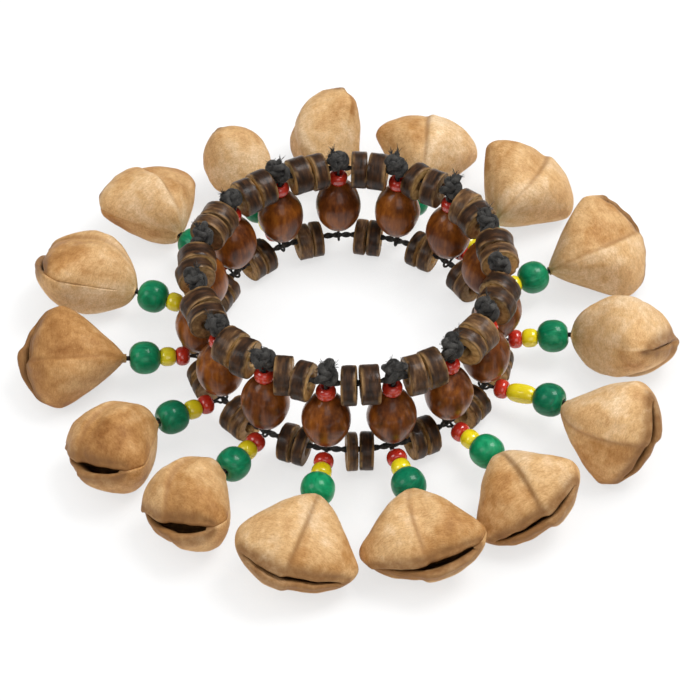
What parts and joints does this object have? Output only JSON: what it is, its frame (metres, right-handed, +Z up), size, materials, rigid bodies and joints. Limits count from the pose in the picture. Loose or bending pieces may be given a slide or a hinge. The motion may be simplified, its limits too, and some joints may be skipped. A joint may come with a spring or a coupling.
{
  "type": "seed shaker bracelet",
  "caption": "Beaded wrist rattle: a ring of shell discs and oval seeds on cords, with threads that end in hollow nut shells which swing and knock together.",
  "frame": {"origin": "on the table, under the middle of the ring", "axes": "+Z up out of the wrist opening; -Y towards the picture's viewer; +X to the viewer's right"},
  "size_m": [0.1558, 0.157, 0.0354],
  "materials": {
    "ring_cord": "waxed cotton cord, matte",
    "waxed_thread": "black cotton thread, matte, frayed at the cut",
    "shell_disc": "cut shell, satin, streaked bark on the rim",
    "polished_seed": "oiled seed, glossy, streaked",
    "red_glass": "opaque glass seed bead, gloss",
    "red_and_yellow_glass": "opaque glass seed beads, gloss",
    "green_wood": "lacquered wooden bead, semi-gloss",
    "nut_shell": "dry nut shell, matte, pitted"
  },
  "bodies": {
    "bracelet": {"upper_ring_cord": "ring_cord", "lower_ring_cord": "ring_cord", "upper_disc_beads": "shell_disc", "lower_disc_beads": "shell_disc", "oval_beads": "polished_seed", "upper_red_beads": "red_glass", "top_knots": "waxed_thread", "strand_threads": "waxed_thread"},
    "hanging_end_01": {"seed_beads_01": "red_and_yellow_glass", "green_bead_01": "green_wood"},
    "shell_01": {"nut_01": "nut_shell"},
    "hanging_end_02": {"seed_beads_02": "red_and_yellow_glass", "green_bead_02": "green_wood"},
    "shell_02": {"nut_02": "nut_shell"},
    "hanging_end_03": {"seed_beads_03": "red_and_yellow_glass", "green_bead_03": "green_wood"},
    "shell_03": {"nut_03": "nut_shell"},
    "hanging_end_04": {"seed_beads_04": "red_and_yellow_glass", "green_bead_04": "green_wood"},
    "shell_04": {"nut_04": "nut_shell"},
    "hanging_end_05": {"seed_beads_05": "red_and_yellow_glass", "green_bead_05": "green_wood"},
    "shell_05": {"nut_05": "nut_shell"},
    "hanging_end_06": {"seed_beads_06": "red_and_yellow_glass", "green_bead_06": "green_wood"},
    "shell_06": {"nut_06": "nut_shell"},
    "hanging_end_07": {"seed_beads_07": "red_and_yellow_glass", "green_bead_07": "green_wood"},
    "shell_07": {"nut_07": "nut_shell"},
    "hanging_end_08": {"seed_beads_08": "red_and_yellow_glass", "green_bead_08": "green_wood"},
    "shell_08": {"nut_08": "nut_shell"},
    "hanging_end_09": {"seed_beads_09": "red_and_yellow_glass", "green_bead_09": "green_wood"},
    "shell_09": {"nut_09": "nut_shell"},
    "hanging_end_10": {"seed_beads_10": "red_and_yellow_glass", "green_bead_10": "green_wood"},
    "shell_10": {"nut_10": "nut_shell"},
    "hanging_end_11": {"seed_beads_11": "red_and_yellow_glass", "green_bead_11": "green_wood"},
    "shell_11": {"nut_11": "nut_shell"},
    "hanging_end_12": {"seed_beads_12": "red_and_yellow_glass", "green_bead_12": "green_wood"},
    "shell_12": {"nut_12": "nut_shell"},
    "hanging_end_13": {"seed_beads_13": "red_and_yellow_glass", "green_bead_13": "green_wood"},
    "shell_13": {"nut_13": "nut_shell"},
    "hanging_end_14": {"seed_beads_14": "red_and_yellow_glass", "green_bead_14": "green_wood"},
    "shell_14": {"nut_14": "nut_shell"},
    "hanging_end_15": {"seed_beads_15": "red_and_yellow_glass", "green_bead_15": "green_wood"},
    "shell_15": {"nut_15": "nut_shell"}
  },
  "joints": [
    {"name": "swing_01", "type": "hinge", "parent": "bracelet", "child": "hanging_end_01", "pos_m": [-0.00251, 0.03596, 0.0053], "axis": [0.9976, 0.0698, 0], "range_deg": [-50, 10], "deforming": ["strand_threads"]},
    {"name": "nut_turn_01", "type": "hinge", "parent": "hanging_end_01", "child": "shell_01", "pos_m": [-0.00377, 0.0539, 0.00867], "axis": [-0.1552, 0.9707, 0.1834], "range_deg": [-75, 75], "deforming": ["strand_threads"]},
    {"name": "swing_02", "type": "hinge", "parent": "bracelet", "child": "hanging_end_02", "pos_m": [0.01233, 0.03388, 0.0053], "axis": [0.9397, -0.342, 0], "range_deg": [-50, 10], "deforming": ["strand_threads"]},
    {"name": "nut_turn_02", "type": "hinge", "parent": "hanging_end_02", "child": "shell_02", "pos_m": [0.01854, 0.05094, 0.00759], "axis": [0.1538, 0.9804, 0.123], "range_deg": [-75, 75], "deforming": ["strand_threads"]},
    {"name": "swing_03", "type": "hinge", "parent": "bracelet", "child": "hanging_end_03", "pos_m": [0.02504, 0.02593, 0.0053], "axis": [0.7193, -0.6947, 0], "range_deg": [-50, 10], "deforming": ["strand_threads"]},
    {"name": "nut_turn_03", "type": "hinge", "parent": "hanging_end_03", "child": "shell_03", "pos_m": [0.03764, 0.03898, 0.00771], "axis": [0.5818, 0.8028, 0.1307], "range_deg": [-75, 75], "deforming": ["strand_threads"]},
    {"name": "swing_04", "type": "hinge", "parent": "bracelet", "child": "hanging_end_04", "pos_m": [0.03342, 0.0135, 0.0053], "axis": [0.3746, -0.9272, 0], "range_deg": [-50, 10], "deforming": ["strand_threads"]},
    {"name": "nut_turn_04", "type": "hinge", "parent": "hanging_end_04", "child": "shell_04", "pos_m": [0.05024, 0.0203, 0.00773], "axis": [0.9054, 0.4034, 0.1325], "range_deg": [-75, 75], "deforming": ["strand_threads"]},
    {"name": "swing_05", "type": "hinge", "parent": "bracelet", "child": "hanging_end_05", "pos_m": [0.03603, -0.00126, 0.0053], "axis": [-0.0349, -0.9994, 0], "range_deg": [-50, 10], "deforming": ["strand_threads"]},
    {"name": "nut_turn_05", "type": "hinge", "parent": "hanging_end_05", "child": "shell_05", "pos_m": [0.05412, -0.00189, 0.00799], "axis": [0.9675, -0.2075, 0.1448], "range_deg": [-75, 75], "deforming": ["strand_threads"]},
    {"name": "swing_06", "type": "hinge", "parent": "bracelet", "child": "hanging_end_06", "pos_m": [0.0324, -0.0158, 0.0053], "axis": [-0.4384, -0.8988, 0], "range_deg": [-50, 10], "deforming": ["strand_threads"]},
    {"name": "nut_turn_06", "type": "hinge", "parent": "hanging_end_06", "child": "shell_06", "pos_m": [0.05129, -0.02501, 0.00877], "axis": [0.7079, -0.6891, 0.1548], "range_deg": [-75, 75], "deforming": ["strand_threads"]},
    {"name": "swing_07", "type": "hinge", "parent": "bracelet", "child": "hanging_end_07", "pos_m": [0.02317, -0.02762, 0.0053], "axis": [-0.766, -0.6428, 0], "range_deg": [-50, 10], "deforming": ["strand_threads"]},
    {"name": "nut_turn_07", "type": "hinge", "parent": "hanging_end_07", "child": "shell_07", "pos_m": [0.03484, -0.04152, 0.00766], "axis": [0.3695, -0.9211, 0.1228], "range_deg": [-75, 75], "deforming": ["strand_threads"]},
    {"name": "swing_08", "type": "hinge", "parent": "bracelet", "child": "hanging_end_08", "pos_m": [0.00994, -0.03465, 0.0053], "axis": [-0.9613, -0.2756, 0], "range_deg": [-50, 10], "deforming": ["strand_threads"]},
    {"name": "nut_turn_08", "type": "hinge", "parent": "hanging_end_08", "child": "shell_08", "pos_m": [0.01494, -0.05211, 0.00754], "axis": [0.1025, -0.9874, 0.1206], "range_deg": [-75, 75], "deforming": ["strand_threads"]},
    {"name": "swing_09", "type": "hinge", "parent": "bracelet", "child": "hanging_end_09", "pos_m": [-0.00502, -0.0357, 0.0053], "axis": [-0.9903, 0.1392, 0], "range_deg": [-50, 10], "deforming": ["strand_threads"]},
    {"name": "nut_turn_09", "type": "hinge", "parent": "hanging_end_09", "child": "shell_09", "pos_m": [-0.00754, -0.05367, 0.00763], "axis": [-0.2238, -0.9663, 0.1269], "range_deg": [-75, 75], "deforming": ["strand_threads"]},
    {"name": "swing_10", "type": "hinge", "parent": "bracelet", "child": "hanging_end_10", "pos_m": [-0.0191, -0.03057, 0.0053], "axis": [-0.848, 0.5299, 0], "range_deg": [-50, 10], "deforming": ["strand_threads"]},
    {"name": "nut_turn_10", "type": "hinge", "parent": "hanging_end_10", "child": "shell_10", "pos_m": [-0.02869, -0.04591, 0.00809], "axis": [-0.5237, -0.8382, 0.1523], "range_deg": [-75, 75], "deforming": ["strand_threads"]},
    {"name": "swing_11", "type": "hinge", "parent": "bracelet", "child": "hanging_end_11", "pos_m": [-0.02989, -0.02016, 0.0053], "axis": [-0.5592, 0.829, 0], "range_deg": [-50, 10], "deforming": ["strand_threads"]},
    {"name": "nut_turn_11", "type": "hinge", "parent": "hanging_end_11", "child": "shell_11", "pos_m": [-0.04489, -0.03028, 0.00797], "axis": [-0.686, -0.7135, 0.1427], "range_deg": [-75, 75], "deforming": ["strand_threads"]},
    {"name": "swing_12", "type": "hinge", "parent": "bracelet", "child": "hanging_end_12", "pos_m": [-0.0355, -0.00626, 0.0053], "axis": [-0.1736, 0.9848, 0], "range_deg": [-50, 10], "deforming": ["strand_threads"]},
    {"name": "nut_turn_12", "type": "hinge", "parent": "hanging_end_12", "child": "shell_12", "pos_m": [-0.05337, -0.00941, 0.00766], "axis": [-0.988, -0.0857, 0.1283], "range_deg": [-75, 75], "deforming": ["strand_threads"]},
    {"name": "swing_13", "type": "hinge", "parent": "bracelet", "child": "hanging_end_13", "pos_m": [-0.03498, 0.00872, 0.0053], "axis": [0.2419, 0.9703, 0], "range_deg": [-50, 10], "deforming": ["strand_threads"]},
    {"name": "nut_turn_13", "type": "hinge", "parent": "hanging_end_13", "child": "shell_13", "pos_m": [-0.05258, 0.01311, 0.0077], "axis": [-0.9189, 0.3725, 0.1299], "range_deg": [-75, 75], "deforming": ["strand_threads"]},
    {"name": "swing_14", "type": "hinge", "parent": "bracelet", "child": "hanging_end_14", "pos_m": [-0.02841, 0.02219, 0.0053], "axis": [0.6157, 0.788, 0], "range_deg": [-50, 10], "deforming": ["strand_threads"]},
    {"name": "nut_turn_14", "type": "hinge", "parent": "hanging_end_14", "child": "shell_14", "pos_m": [-0.04271, 0.03337, 0.00764], "axis": [-0.5674, 0.8143, 0.1222], "range_deg": [-75, 75], "deforming": ["strand_threads"]},
    {"name": "swing_15", "type": "hinge", "parent": "bracelet", "child": "hanging_end_15", "pos_m": [-0.01692, 0.03183, 0.0053], "axis": [0.8829, 0.4695, 0], "range_deg": [-50, 10], "deforming": ["strand_threads"]},
    {"name": "nut_turn_15", "type": "hinge", "parent": "hanging_end_15", "child": "shell_15", "pos_m": [-0.02541, 0.04779, 0.00814], "axis": [-0.2701, 0.9508, 0.1516], "range_deg": [-75, 75], "deforming": ["strand_threads"]}
  ]
}
